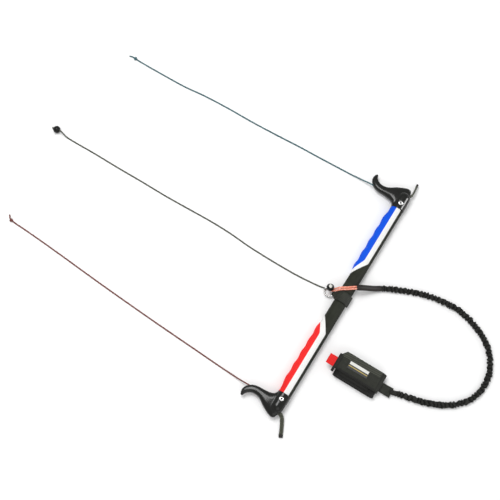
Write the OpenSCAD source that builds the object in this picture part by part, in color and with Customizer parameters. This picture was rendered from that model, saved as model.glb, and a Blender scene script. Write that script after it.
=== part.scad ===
// Kite control bar: a gripped aluminium bar with winglet end caps, three leader lines,
// a centre ring with its stopper bead, and a wrist leash with a padded cuff.
// It lies on the floor. +X runs along the bar to the blue end, +Y points to the kite, +Z is up.
// The origin is on the floor, at the middle of the bar's own footprint.

/* [Bar] */
// Length of the bar over its end caps
bar_length = 574; // [560:2:600]
// Height of the bar's axis above the floor
axis_height = 14.2; // [14.1:0.1:14.4]
// Outer diameter of the aluminium tube
tube_diameter = 19; // [18:0.5:20]
// Wall thickness of the aluminium tube
tube_wall = 1.6; // [1.2:0.1:2]

/* [Grips] */
// Outer diameter of the foam grips
grip_diameter = 28; // [27:0.2:28]
// Distance from one finger bump to the next
finger_pitch = 30; // [26:1:30]
// Number of finger bumps on each grip
finger_count = 5; // [3:1:5]
// How far the finger bumps stand out in front of the grip
finger_rise = 3; // [1:0.5:3]

/* [End caps] */
// Outer diameter of the hub that holds the tube
hub_diameter = 30; // [29.6:0.1:30.4]
// Length of the straight part of the hub
hub_length = 29; // [27:1:30]
// Diameter of the hole that a leader line comes out of
line_hole = 4; // [3.8:0.1:5]

/* [Centre] */
// Width of the webbing strap round the bar
strap_width = 23; // [21:1:25]
// Mean diameter of the steel ring
ring_diameter = 21; // [20:0.5:22]
// Thickness of the ring's wire
ring_wire = 3.2; // [2.6:0.2:3.2]
// Diameter of both stopper balls
ball_diameter = 16; // [14:0.5:16]

/* [Cords] */
// Diameter of the leader lines and of the centre line
line_diameter = 3; // [2.4:0.2:3.2]
// Diameter of the red cord in the leash loop
loop_diameter = 3.6; // [3:0.2:3.6]
// Diameter of the gathered elastic leash
leash_diameter = 11; // [9:0.5:11]

/* [Cuff] */
// Width of the cuff band
band_width = 52; // [46:1:54]
// Height of the flattened cuff band
band_height = 18; // [16:0.5:18]
// Thickness of the band's foam and fabric
band_wall = 4; // [3:0.5:4.5]
// Thickness of the closing flap
flap_thick = 2.5; // [2:0.1:3]

/* [Hidden] */
$fn = 64;

// Everything below is laid out from the middle of the bar, and placed() moves it back by this much
// so that the origin comes under the middle of the footprint.
footprint_shift = 32;
eps = 0.01;
slip = 0.05;
// How far a cutting shape runs past the face it cuts
cut = 1;

// Bar
tube_r = tube_diameter / 2;
bore_r = tube_r + slip;
plug_r = tube_r - tube_wall - slip;
plug_length = 10;
cap_width = 54;
cap_x = bar_length / 2 - cap_width;
tube_end = cap_x + hub_length;
grip_r = grip_diameter / 2;
hub_r = hub_diameter / 2;

// Finger bumps: wide upright discs, cut to the shape of a grip that is moved forward
disc_r = 76;
disc_facets = 200;
last_finger = 200;

// Cap bolts
bolt_x = cap_x + 13;
bolt_r = 2;
bolt_head_r = 5;
bolt_head_h = 2.2;
bolt_seat = axis_height + 13;
bolt_tip = 7;
hex_across = 3;
hex_floor = 0.4;
nut_r = 3;
nut_head_r = 4.4;
nut_head_h = 1.8;
nut_foot = 0.2;
nut_top = 12;
nut_floor = 1;

// Keepers turn about an upright line in a slot at the cap's outer back corner
keeper_pivot = [272, -5];
keeper_slot_h = 9.6;
keeper_slot_r = 7;
keeper_slot_reach = 22;
keeper_slot_angle = 75;
keeper_band = 8.4;
keeper_thick = 4.2;

// Leader line hole in the horn
line_hole_x = 255;
line_hole_from = 56;
line_hole_to = 90;

// Centre strap
strap_mid = 2.5;
strap_thick = 1.7;
groove_gap = 0.4;
overlap_drop = 4;
overlap_reach = 12;
strap_in_r = 12.2;
strap_out_r = strap_in_r + strap_thick;
strap_over_r = strap_out_r + strap_thick;
eye_y = 21.5;
eye_z = 9;
eye_r = 4.4;
eye_bore_r = 3;
eye_width = 9;
// Where the strap starts to narrow, where it is as narrow as the eye, and where it is cut off
strap_shoulder_y = 13;
strap_neck_y = 18.4;
strap_tip_y = 30;
// Section of the web that joins the strap to the eye: corners in y and z
strap_web = [
    [eye_y + 1.6, eye_z + 4.1], [11, axis_height + 8.2], [8, axis_height],
    [11, axis_height - 8.6], [eye_y - 1.2, eye_z - 4.2]
];

// Ring, beads and knots
ring_tilt = 10;
ring_r = ring_diameter / 2;
ball_r = ball_diameter / 2;
bead_at = [8, 34, 22.5];
ball_hole_r = 2.2;
far_ball_at = [3.3, 730.5, 8.1];
far_axis = [0, -0.9, 0.436];
lark_at = [6.2, 31.6, 9.6];
lark_r = 3.9;
ball_knot_r = 2.4;
end_knot_r = 3;
left_knot_at = [-220.4, 695.2, 1.6];
left_knot_tail = [8.4, 11.6, 0];
right_knot_at = [240.1, 679.2, 1.6];
right_knot_tail = [-1.2, 16, 0];
// Cord inside a ball stops short of the cord outside it, and the knot sits this far off the ball
cord_gap = 0.2;
bead_knot_rise = 1.2;
far_cord_gap = 0.3;
far_knot_rise = 1;

// Cords
line_r = line_diameter / 2;
loop_r = loop_diameter / 2;
loop_side = [1.7, 1.4, 0];
leash_r = leash_diameter / 2;
sleeve_r = leash_r + 0.7;
keeper_sleeve_length = 6;
sleeve_wide = keeper_band / 2 + 0.3;
sleeve_high = keeper_thick / 2 + 0.3;

// Cuff
band_x = -94;
band_front = -62;
band_back = -157;
band_foot = 0.2;
band_r = band_height / 2;
band_mid_z = band_foot + band_r;
band_top = band_foot + band_height;
loop_thick = 0.9;
hook_gap = 0.2;
hook_thick = 0.8;
hook_z = band_top + loop_thick + hook_gap;
flap_z = hook_z + hook_thick;
flap_hinge_z = flap_z + flap_thick / 2;
label_z = flap_z + flap_thick;
label_thick = 0.6;
hem_grip = 0.7;
tab_hinge_y = -53.2;
tab_thick = 2;
tab_x = -132.8;
tab_width = 21.8;
tab_depth = 15.7;
leash_tab_z = 4.6;
leash_tab_thick = 2.8;

// Plans of the flat sewn pieces: corners for the sheets, and [x, y, width, depth] for the oblongs
leash_tab_plan = [[-126.3, -184], [-104.6, -184], [-105.6, -158], [-126.3, -158]];
flap_plan = [[-134, -148], [-90, -148], [-90, -66], [-101, -58], [-134, -58]];
flap_width = flap_plan[1][0] - flap_plan[0][0];
loop_plan = [-134, -140, 38, 68];
hook_plan = [-132, -138, 34, 64];
hem_plan = [-142.5, -58, 41.5, 3.6];
label_plan = [-120, -126, 17, 47];

// A horn, from its back edge to its tip. Each row is one cut across it: how far the inner end is
// from the cap's inner face, its y, the same two for the outer end, and half the thickness.
horn = [
    [5, -13.5, 31, -13, 4], [1, -12.5, 38, -11.5, 7.5], [0, -10, 44, -9.5, 8.5],
    [0, -6, 51.5, -6, 9.5], [0, 0, 54, 0, 10], [0, 7, 52.5, 7, 10],
    [1, 13, 49.5, 14, 10], [8, 18.5, 46, 21, 10], [11.5, 25, 42, 28, 9.8],
    [13, 34, 36.5, 36, 9.4], [13.7, 43, 33, 43, 9], [14, 51, 31.8, 51, 8.6],
    [15.2, 59, 32.4, 58, 8.2], [18, 66.5, 35, 63.5, 7.6], [22.5, 72.5, 38, 67.5, 6.8],
    [28, 77.2, 41.5, 70, 6], [34.5, 79.6, 44.2, 71.4, 5.2], [41, 79.3, 46.2, 72, 4.4],
    [45.5, 77.6, 47.6, 73.2, 3], [47.8, 75.9, 48, 74.8, 1]
];
horn_sides = 24;
horn_round = 0.78;

// Cord routes, chosen by hand, measured from the middle of the bar at floor level
left_route = [
    [-255, 58, 14.2], [-255, 74, 14.2], [-255, 84, 12.4], [-254.7, 94, 8.8], [-254.3, 106, 5],
    [-253.6, 120, 2.5], [-252.4, 150, 1.6], [-250, 200, 1.6], [-247.5, 255, 1.6],
    [-244.6, 315, 1.6], [-241, 378, 1.6], [-237.2, 440, 1.6], [-233, 500, 1.6],
    [-228.8, 556, 1.6], [-225, 612, 1.6], [-222.4, 660, 1.6], [-220.8, 692, 1.7]
];
right_route = [
    [255, 58, 14.2], [255, 74, 14.2], [255.2, 84, 12.4], [255.6, 94, 8.8], [256, 106, 5],
    [255.8, 120, 2.5], [254.8, 155, 1.6], [253.2, 205, 1.6], [252, 258, 1.6],
    [249.4, 312, 1.6], [247.6, 372, 1.6], [247.4, 440, 1.6], [245.4, 496, 1.6],
    [240.6, 552, 1.6], [239.8, 605, 1.6], [239.6, 650, 1.6], [240, 676, 1.7]
];
centre_route = [
    [8, 34, 14.4], [7.8, 34, 11], [7.4, 34.3, 7.2], [6.6, 37, 3], [5.4, 42.5, 1.6],
    [3, 56, 1.6], [0.6, 78, 1.6], [-1.6, 108, 1.6], [-2.4, 145, 1.6], [-2.2, 185, 1.6],
    [-0.8, 232, 1.6], [2.6, 276, 1.6], [3.8, 318, 1.6], [2.6, 376, 1.6], [0.9, 440, 1.6],
    [1.3, 505, 1.6], [0.9, 570, 1.6], [1.4, 635, 1.6], [0.8, 690, 1.6], [1, 702, 2.6],
    [1.7, 709, 6.4], [2.6, 714.4, 11.2], [3.2, 719, 13.1], [3.3, 723, 11.8]
];
loop_route = [
    [8.3, 27.6, 13.6], [10, 24, 16], [12, 20, 20], [15, 15.6, 25.8], [18.6, 9.4, 29.2],
    [23, 2.6, 30.5], [29, -5, 30.6], [34.7, -12.2, 30.4]
];
sleeve_route = [
    [35.2, -12.9, 30.4], [40, -20, 27.6], [46, -30, 21.5], [52.5, -41, 14], [58, -50, 9],
    [63, -57, 7]
];
leash_route = [
    [63.8, -58, 6.8], [69, -64, 6.1], [75, -73, 5.7], [82, -86, 5.6], [89, -103, 5.6],
    [96, -122, 5.6], [102, -142, 5.6], [107, -165, 5.6], [110, -188, 5.6], [111, -210, 5.6],
    [108, -235, 5.6], [100, -262, 5.6], [88, -288, 5.6], [72, -309, 5.6], [52, -325, 5.6],
    [29, -336, 5.6], [4, -340, 5.6], [-20, -337, 5.6], [-43, -328, 5.6], [-62, -312, 5.6],
    [-77, -293, 5.6], [-88, -271, 5.6], [-97, -247, 5.6], [-103, -224, 5.6],
    [-108, -203, 5.6], [-112.6, -186, 6]
];
keeper_left_route = [
    [-272, -5, 13.6], [-272, -13, 12], [-275, -18.5, 9.4], [-282, -23.5, 6.6],
    [-292, -29, 4.6], [-306, -35.6, 3.4]
];
keeper_right_route = [
    [272, -5, 14.2], [273, -9.6, 14], [277, -12, 13.6], [284, -12.6, 12.4],
    [293, -12, 10.2], [303, -11, 7.4]
];

// Cords and straps ---------------------------------------------------------------------

function unit(v) = v / norm(v);
function heading(route, i) =
    unit(route[min(i + 1, len(route) - 1)] - route[max(i - 1, 0)]);
function ring_points(p, t, ref, wide, high, sides) =
    let (u = unit(cross(t, ref)), v = cross(t, u))
    [for (k = [0:sides - 1])
        p + u * wide * cos(360 * k / sides) + v * high * sin(360 * k / sides)];
function skin_faces(rings, sides) = concat(
    [[for (k = [0:sides - 1]) k]],
    [for (i = [0:rings - 2], k = [0:sides - 1])
        [i * sides + k, (i + 1) * sides + k, (i + 1) * sides + (k + 1) % sides]],
    [for (i = [0:rings - 2], k = [0:sides - 1])
        [i * sides + k, (i + 1) * sides + (k + 1) % sides, i * sides + (k + 1) % sides]],
    [[for (k = [0:sides - 1]) rings * sides - 1 - k]]
);

// A cord of an oval section along a route. ref is a direction that the route never takes.
module cord(route, wide, high, ref = [0, 0, 1], sides = 8) {
    points = [for (i = [0:len(route) - 1])
        each ring_points(route[i], heading(route, i), ref, wide, high, sides)];
    polyhedron(points, skin_faces(len(route), sides), convexity = 8);
}

function moved(route, by) = [for (p = route) p + by];

module placed() {
    translate([0, -footprint_shift, 0]) children();
}

// A round bar along +X from x0, at the bar's axis or beside it
module rod(r, x0, length, y = 0, z = axis_height) {
    translate([x0, y, z]) rotate([0, 90, 0]) cylinder(r = r, h = length);
}

module at_side(side) {
    if (side < 0) mirror([1, 0, 0]) children();
    else children();
}

// Bar -----------------------------------------------------------------------------------

module bar_tube() {
    color("silver") placed() difference() {
        rod(tube_r, -tube_end, 2 * tube_end);
        rod(tube_r - tube_wall, -tube_end - cut, 2 * (tube_end + cut));
        for (side = [-1, 1])
            translate([side * bolt_x, 0, 0]) cylinder(r = nut_r + 2 * slip, h = 2 * axis_height);
    }
}

module tube_plug(side) {
    at_side(side) rod(plug_r, tube_end - plug_length, plug_length);
}

module tube_plug_left() { color("dimgray") placed() tube_plug(-1); }
module tube_plug_right() { color("dimgray") placed() tube_plug(1); }

module finger_bumps() {
    intersection() {
        rod(grip_r, grip_r, cap_x - grip_r, finger_rise);
        for (k = [0:finger_count - 1])
            translate([last_finger - k * finger_pitch, grip_r + finger_rise - disc_r, 0])
                cylinder(r = disc_r, h = 2 * axis_height, $fn = disc_facets);
    }
}

module strap_groove() {
    difference() {
        rod(2 * grip_r, strap_mid - strap_width / 2 - groove_gap, strap_width + 2 * groove_gap);
        rod(strap_in_r - slip, strap_mid - strap_width, 2 * strap_width);
    }
}

module grip_left() {
    color("red") placed() difference() {
        mirror([1, 0, 0]) union() {
            rod(grip_r, 0, cap_x);
            finger_bumps();
        }
        rod(bore_r, -cap_x - cut, cap_x + 2 * cut);
        strap_groove();
    }
}

module grip_right() {
    color("royalblue") placed() difference() {
        union() {
            rod(grip_r, 0, cap_x);
            finger_bumps();
        }
        rod(bore_r, -cut, cap_x + 2 * cut);
        strap_groove();
    }
}

// End caps ------------------------------------------------------------------------------

function bulge(v) = sign(v) * pow(abs(v), horn_round);
function horn_cut(row) = [for (k = [0:horn_sides - 1])
    let (a = 360 * k / horn_sides, across = 0.5 + 0.5 * bulge(cos(a)))
    [
        cap_x + row[0] + (row[2] - row[0]) * across,
        row[1] + (row[3] - row[1]) * across,
        axis_height - row[4] * bulge(sin(a))
    ]];

module horn_blade() {
    polyhedron([for (row = horn) each horn_cut(row)], skin_faces(len(horn), horn_sides), convexity = 6);
}

module keeper_slot() {
    reach = keeper_slot_reach;
    turn = keeper_slot_angle;
    translate([keeper_pivot[0], keeper_pivot[1], axis_height - keeper_slot_h / 2]) {
        cylinder(r = keeper_slot_r, h = keeper_slot_h);
        linear_extrude(keeper_slot_h) polygon([
            [0, 0], [-reach * sin(turn), -reach * cos(turn)], [-reach, -reach],
            [reach, -reach], [reach * sin(turn), -reach * cos(turn)]
        ]);
    }
}

module bolt_holes() {
    translate([bolt_x, 0, -cut]) cylinder(r = nut_r + slip, h = 2 * hub_diameter);
    translate([bolt_x, 0, bolt_seat]) cylinder(r = bolt_head_r + 2 * slip, h = hub_r);
    translate([bolt_x, 0, -cut])
        cylinder(r = nut_head_r + 2 * slip, h = cut + nut_foot + nut_head_h);
}

module end_cap(side) {
    at_side(side) difference() {
        union() {
            horn_blade();
            rod(hub_r, cap_x, hub_length);
            translate([cap_x + hub_length, 0, axis_height]) sphere(r = hub_r);
        }
        rod(bore_r, cap_x - cut, hub_length + cut);
        translate([0, -hub_diameter, -hub_diameter]) cube([bar_length, 2 * hub_diameter, hub_diameter]);
        bolt_holes();
        keeper_slot();
        translate([line_hole_x, line_hole_from, axis_height]) rotate([-90, 0, 0])
            cylinder(r = line_hole / 2, h = line_hole_to - line_hole_from);
    }
}

module end_cap_left() { color([0.07, 0.07, 0.07]) placed() end_cap(-1); }
module end_cap_right() { color([0.07, 0.07, 0.07]) placed() end_cap(1); }

module cap_bolts() {
    color("silver") placed() for (side = [-1, 1]) translate([side * bolt_x, 0, 0]) difference() {
        union() {
            translate([0, 0, bolt_seat]) cylinder(r = bolt_head_r, h = bolt_head_h);
            translate([0, 0, bolt_tip]) cylinder(r = bolt_r, h = bolt_seat - bolt_tip + eps);
        }
        translate([0, 0, bolt_seat + hex_floor])
            cylinder(r = hex_across / sqrt(3), h = bolt_head_h, $fn = 6);
    }
}

module cap_nuts() {
    color("silver") placed() for (side = [-1, 1]) translate([side * bolt_x, 0, nut_foot]) difference() {
        union() {
            cylinder(r = nut_head_r, h = nut_head_h);
            cylinder(r = nut_r, h = nut_top - nut_foot);
        }
        translate([0, 0, nut_floor]) cylinder(r = bolt_r + slip, h = nut_top);
    }
}

// Keepers -------------------------------------------------------------------------------

module keeper_round(route) {
    translate([route[0][0], route[0][1], route[0][2] - keeper_thick / 2])
        cylinder(r = keeper_band / 2, h = keeper_thick);
}

function keeper_end(route) = route[len(route) - 1];
function keeper_way(route) = heading(route, len(route) - 1);
function sleeve_route_of(route) =
    [keeper_end(route), keeper_end(route) + keeper_way(route) * keeper_sleeve_length];

module keeper_left() {
    color([0.25, 0.27, 0.22]) placed() union() {
        cord(keeper_left_route, keeper_band / 2, keeper_thick / 2, sides = 12);
        keeper_round(keeper_left_route);
    }
}

module keeper_right() {
    color([0.25, 0.27, 0.22]) placed() union() {
        cord(keeper_right_route, keeper_thick / 2, keeper_band / 2, sides = 12);
        keeper_round(keeper_right_route);
    }
}

module keeper_sleeve_left() {
    color([0.1, 0.1, 0.1]) placed()
        cord(sleeve_route_of(keeper_left_route), sleeve_wide, sleeve_high, sides = 12);
}

module keeper_sleeve_right() {
    color([0.1, 0.1, 0.1]) placed()
        cord(sleeve_route_of(keeper_right_route), sleeve_high, sleeve_wide, sides = 12);
}

// Leader lines --------------------------------------------------------------------------

module leader_left() {
    color([0.7, 0.35, 0.3]) placed() cord(left_route, line_r, line_r, ref = [1, 0, 0]);
}

module leader_right() {
    color([0.3, 0.55, 0.62]) placed() cord(right_route, line_r, line_r, ref = [1, 0, 0]);
}

// An overhand knot with its cut tail, as a ball and a short bent end
module end_knot(at, tail) {
    translate([at[0], at[1], end_knot_r + 2 * slip]) sphere(r = end_knot_r);
    cord([[at[0], at[1], end_knot_r], at + tail / 2, at + tail], line_r, line_r, ref = [1, 0, 0]);
}

module leader_knot_left() {
    color([0.7, 0.3, 0.28]) placed() end_knot(left_knot_at, left_knot_tail);
}

module leader_knot_right() {
    color([0.25, 0.5, 0.55]) placed() end_knot(right_knot_at, right_knot_tail);
}

// Centre --------------------------------------------------------------------------------

module strap_plan() {
    half = strap_width / 2;
    neck = eye_width / 2;
    translate([strap_mid, 0, -cut]) linear_extrude(2 * hub_diameter) polygon([
        [-half, -grip_diameter], [half, -grip_diameter], [half, strap_shoulder_y],
        [neck, strap_neck_y], [neck, strap_tip_y], [-neck, strap_tip_y],
        [-neck, strap_neck_y], [-half, strap_shoulder_y]
    ]);
}

// Section of the strap across the bar, drawn in y and z and pushed along x
module strap_body() {
    from = strap_mid - strap_width / 2;
    rod(strap_out_r, from, strap_width);
    intersection() {
        rod(strap_over_r, from, strap_width);
        translate([from, -grip_diameter, axis_height - overlap_drop])
            cube([strap_width, grip_diameter + overlap_reach, 2 * hub_r]);
    }
    rod(eye_r, from, strap_width, eye_y, eye_z);
    translate([from, 0, 0]) rotate([90, 0, 90]) linear_extrude(strap_width) polygon(strap_web);
}

module centre_strap() {
    color([0.12, 0.12, 0.12]) placed() difference() {
        intersection() {
            strap_body();
            strap_plan();
        }
        rod(strap_in_r, -strap_width, 3 * strap_width);
        rod(eye_bore_r, -strap_width, 3 * strap_width, eye_y, eye_z);
    }
}

module centre_ring() {
    color("silver") placed() translate([strap_mid, eye_y, eye_z]) rotate([-ring_tilt, 0, 0])
        translate([0, ring_r, 0]) rotate_extrude() translate([ring_r, 0]) circle(r = ring_wire / 2);
}

module stopper_bead() {
    color([0.08, 0.08, 0.08]) placed() translate(bead_at) difference() {
        sphere(r = ball_r);
        translate([0, 0, -ball_diameter]) cylinder(r = ball_hole_r, h = 2 * ball_diameter);
    }
}

module bead_knot() {
    color([0.6, 0.6, 0.58]) placed() translate(bead_at) {
        translate([0, 0, cord_gap - ball_r]) cylinder(r = line_r, h = ball_diameter);
        translate([0, 0, ball_r + bead_knot_rise]) sphere(r = ball_knot_r);
    }
}

module centre_line() {
    color([0.45, 0.46, 0.44]) placed() cord(centre_route, line_r, line_r, ref = [1, 0, 0]);
}

// Turns +Z onto a direction in the plane x = 0
module along(direction) {
    rotate([-atan2(direction[1], direction[2]), 0, 0]) children();
}

module far_ball() {
    color([0.08, 0.08, 0.08]) placed() translate(far_ball_at) difference() {
        sphere(r = ball_r);
        along(far_axis) translate([0, 0, -ball_diameter])
            cylinder(r = ball_hole_r, h = 2 * ball_diameter);
    }
}

module far_knot() {
    color([0.6, 0.6, 0.58]) placed() translate(far_ball_at) along(far_axis) {
        translate([0, 0, -ball_r]) cylinder(r = line_r, h = ball_diameter - far_cord_gap);
        translate([0, 0, -ball_r - far_knot_rise]) sphere(r = ball_knot_r);
    }
}

// Leash ---------------------------------------------------------------------------------

module lark_knot() {
    color("salmon") placed() translate(lark_at) difference() {
        sphere(r = lark_r);
        translate([centre_route[1][0] - lark_at[0], centre_route[1][1] - lark_at[1], -2 * lark_r])
            cylinder(r = ball_hole_r, h = 4 * lark_r);
    }
}

module leash_loop_a() {
    color("salmon") placed() cord(moved(loop_route, -loop_side), loop_r, loop_r);
}

module leash_loop_b() {
    color("salmon") placed() cord(moved(loop_route, loop_side), loop_r, loop_r);
}

module leash_sleeve() {
    color([0.1, 0.1, 0.1]) placed() cord(sleeve_route, sleeve_r, sleeve_r, sides = 12);
}

module leash_cord() {
    color([0.07, 0.07, 0.07]) placed() cord(leash_route, leash_r, leash_r, sides = 12);
}

module leash_tab() {
    color([0.1, 0.1, 0.1]) placed() translate([0, 0, leash_tab_z])
        linear_extrude(leash_tab_thick) polygon(leash_tab_plan);
}

// Cuff ----------------------------------------------------------------------------------

// A flattened loop of the band: two round folds with straight runs between them
module flat_loop(r, x0, width) {
    back = band_back + band_r;
    front = band_front - band_r;
    rod(r, x0, width, back, band_mid_z);
    rod(r, x0, width, front, band_mid_z);
    translate([x0, back, band_mid_z - r]) cube([width, front - back, 2 * r]);
}

module cuff_band() {
    color([0.09, 0.09, 0.1]) placed() difference() {
        flat_loop(band_r, band_x - band_width, band_width);
        flat_loop(band_r - band_wall, band_x - band_width - cut, band_width + 2 * cut);
    }
}

// An oblong sewn piece, lying flat at height z
module patch(plan, z, thick) {
    translate([plan[0], plan[1], z]) cube([plan[2], plan[3], thick]);
}

module loop_patch() { color([0.14, 0.14, 0.14]) placed() patch(loop_plan, band_top, loop_thick); }
module hook_patch() { color([0.2, 0.2, 0.2]) placed() patch(hook_plan, hook_z, hook_thick); }
module cuff_label() { color([0.15, 0.15, 0.15]) placed() patch(label_plan, label_z, label_thick); }

module cuff_flap() {
    color([0.1, 0.1, 0.1]) placed() union() {
        translate([0, 0, flap_z]) linear_extrude(flap_thick) polygon(flap_plan);
        rod(flap_thick / 2, flap_plan[0][0], flap_width, flap_plan[0][1], flap_hinge_z);
    }
}

module flap_hem() {
    color([0.05, 0.05, 0.05]) placed() patch(hem_plan, flap_z - hem_grip, flap_thick + 2 * hem_grip);
}

module pull_tab() {
    color("red") placed() union() {
        patch([tab_x, tab_hinge_y, tab_width, tab_depth], flap_hinge_z - tab_thick / 2, tab_thick);
        rod(tab_thick / 2, tab_x, tab_width, tab_hinge_y, flap_hinge_z);
    }
}

bar_tube();
grip_left();
grip_right();
end_cap_left();
end_cap_right();
tube_plug_left();
tube_plug_right();
cap_bolts();
cap_nuts();
keeper_left();
keeper_right();
keeper_sleeve_left();
keeper_sleeve_right();
leader_left();
leader_right();
leader_knot_left();
leader_knot_right();
centre_strap();
centre_ring();
centre_line();
stopper_bead();
bead_knot();
far_ball();
far_knot();
lark_knot();
leash_loop_a();
leash_loop_b();
leash_sleeve();
leash_cord();
leash_tab();
cuff_band();
loop_patch();
cuff_flap();
hook_patch();
flap_hem();
cuff_label();
pull_tab();
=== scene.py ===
"""Kite control bar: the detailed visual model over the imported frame.

Shapes are drawn in millimetres from the middle of the bar at floor level, the same way as the CAD source,
and place() turns them into metres in the row frame.
"""

import math

import bmesh
import bpy
import numpy as np
from mathutils import Matrix, Vector, noise
from mathutils.bvhtree import BVHTree


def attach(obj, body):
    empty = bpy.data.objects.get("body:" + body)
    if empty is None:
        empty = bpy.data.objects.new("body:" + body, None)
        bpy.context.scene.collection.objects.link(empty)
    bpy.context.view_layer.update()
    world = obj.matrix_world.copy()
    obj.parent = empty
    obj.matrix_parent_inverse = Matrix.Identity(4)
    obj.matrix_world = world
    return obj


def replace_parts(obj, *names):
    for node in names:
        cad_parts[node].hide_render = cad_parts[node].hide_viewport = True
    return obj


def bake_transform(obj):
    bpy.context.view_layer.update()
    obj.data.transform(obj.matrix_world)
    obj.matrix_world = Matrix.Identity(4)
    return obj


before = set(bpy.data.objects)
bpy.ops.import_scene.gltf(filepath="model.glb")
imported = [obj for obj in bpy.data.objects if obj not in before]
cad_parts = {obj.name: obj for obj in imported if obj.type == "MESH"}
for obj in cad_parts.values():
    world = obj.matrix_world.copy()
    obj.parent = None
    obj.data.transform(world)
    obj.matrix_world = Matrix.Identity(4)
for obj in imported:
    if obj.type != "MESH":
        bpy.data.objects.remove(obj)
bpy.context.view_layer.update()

TURN = 2 * math.pi
ORIGIN = np.array([0.0, 32.0, 0.0])
AXIS_Z = 14.2


def place(points):
    """Millimetres from the middle of the bar to metres in the row frame."""
    return (np.asarray(points, float) - ORIGIN) / 1000


# Camera --------------------------------------------------------------------------------


def add(name, data):
    """A new object in the scene."""
    made = bpy.data.objects.new(name, data)
    bpy.context.scene.collection.objects.link(made)
    return made


camera = add("camera", bpy.data.cameras.new("camera"))
camera.data.lens = 72
camera.data.sensor_width = 36
camera.data.clip_end = 20
camera.location = (-0.50806, -0.11895, 2.05795)
camera.rotation_euler = (math.radians(16), 0, math.radians(-58.285656))
bpy.context.scene.camera = camera

# Materials -----------------------------------------------------------------------------


class Paint:
    """A material made of nodes. What is the same all over is set on the shader's own sockets."""

    def __init__(self, name, **fixed):
        self.material = bpy.data.materials.new(name)
        self.material.use_nodes = True
        self.tree = self.material.node_tree
        self.shader = self.tree.nodes["Principled BSDF"]
        for key, value in fixed.items():
            self.shader.inputs[key.replace("_", " ")].default_value = value
        coord = self.tree.nodes.new("ShaderNodeTexCoord")
        self.object, self.uv = coord.outputs["Object"], coord.outputs["UV"]

    def join(self, socket, value):
        if isinstance(value, bpy.types.NodeSocket):
            self.tree.links.new(value, socket)
        elif value is not None:
            socket.default_value = value

    def node(self, kind, *values, out=0, **props):
        made = self.tree.nodes.new("ShaderNode" + kind)
        for key, value in props.items():
            setattr(made, key, value)
        for socket, value in zip(made.inputs, values):
            self.join(socket, value)
        return made.outputs[out]

    def math(self, operation, *values):
        return self.node("Math", *values, operation=operation)

    def xyz(self):
        """x, y and z in millimetres, from the middle of the bar."""
        moved = self.node("VectorMath", self.object, tuple(ORIGIN / 1000), operation="ADD")
        scaled = self.node("VectorMath", moved, (1000, 1000, 1000), operation="MULTIPLY")
        made = self.tree.nodes.new("ShaderNodeSeparateXYZ")
        self.join(made.inputs[0], scaled)
        return made.outputs

    def along(self):
        """Millimetres along and across a swept piece."""
        made = self.tree.nodes.new("ShaderNodeSeparateXYZ")
        self.join(made.inputs[0], self.uv)
        return made.outputs[0], made.outputs[1]

    def noise(self, size, detail=2.0, stretch=None):
        """Noise from 0 to 1, in lumps of that many millimetres."""
        at = self.object
        if stretch:
            at = self.node("VectorMath", at, stretch, operation="MULTIPLY")
        return self.node("TexNoise", at, None, 1000 / size, detail)

    def tone(self):
        return self.node("Attribute", out=2, attribute_name="tone")

    def step(self, value, low, high):
        return self.node("MapRange", value, low, high, interpolation_type="SMOOTHSTEP")

    def mix(self, factor, a, b):
        return self.node("Mix", factor, *[None] * 5, a, b, out=2, data_type="RGBA")

    def wave(self, value, pitch):
        """A rounded ridge from 0 to 1 every pitch millimetres."""
        turned = self.math("MULTIPLY", value, math.pi / pitch)
        return self.math("ABSOLUTE", self.math("SINE", turned))

    def finish(self, colour, rough=None, height=None, deep=0.1):
        """deep is the bump's depth in millimetres."""
        self.join(self.shader.inputs["Base Color"], colour)
        self.join(self.shader.inputs["Roughness"], rough)
        if height is not None:
            bump = self.tree.nodes.new("ShaderNodeBump")
            bump.inputs["Strength"].default_value = 1
            bump.inputs["Distance"].default_value = deep / 1000
            self.join(bump.inputs["Height"], height)
            self.join(self.shader.inputs["Normal"], bump.outputs[0])
        return self.material


def rgb(r, g, b):
    return (r, g, b, 1.0)


def foam(name, side, colour):
    """Printed foam: a coloured band in front, white behind it, and a black middle and back edge."""
    p = Paint(name, Specular_IOR_Level=0.12)
    x, y, _ = p.xyz()
    away = p.math("ABSOLUTE", x)
    edge, corner, slope, floor = (65.0, 15.0, 0.5, 3.0) if side < 0 else (69.0, 14.0, 0.46, 2.0)
    sweep = p.math("MULTIPLY_ADD", p.math("SUBTRACT", away, edge), -slope, corner)
    line = p.math("SMOOTH_MAX", sweep, floor, 2.5)
    band = p.step(p.math("SUBTRACT", y, line), -0.25, 0.25)
    start, top, fall = (49.0, 13.8, 0.636) if side < 0 else (59.0, 12.5, 0.645)
    cut = p.math("MULTIPLY_ADD", p.math("SUBTRACT", away, start), -fall, top)
    back = p.math("SMOOTH_MAX", cut, -8.5, 1.6)
    white = p.step(p.math("SUBTRACT", y, back), -0.25, 0.25)
    grain = p.noise(0.9, 3)
    patch = p.noise(18, 3)
    shade = p.math("MULTIPLY_ADD", patch, 0.5, 0.75)
    black = p.mix(patch, rgb(0.008, 0.009, 0.006), rgb(0.03, 0.033, 0.023))
    clean = p.mix(patch, rgb(0.74, 0.735, 0.72), rgb(0.84, 0.84, 0.83))
    tint = p.mix(patch, rgb(*[c * 0.82 for c in colour]), rgb(*colour))
    final = p.mix(band, p.mix(white, black, clean), tint)
    # Painted shade: the foam's colour is darkened in its pores, where the bump is lowest.
    cells = p.node("TexVoronoi", p.object, None, 1000 / 1.1)
    final = p.mix(p.step(cells, 0.5, 0.1), final, p.node("HueSaturation", 0.5, 1.0, 0.8, 1.0, final))
    height = p.math("ADD", grain, p.math("MULTIPLY", cells, 0.6))
    return p.finish(final, p.math("MULTIPLY_ADD", shade, 0.12, 0.5), height, 0.16)


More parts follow.
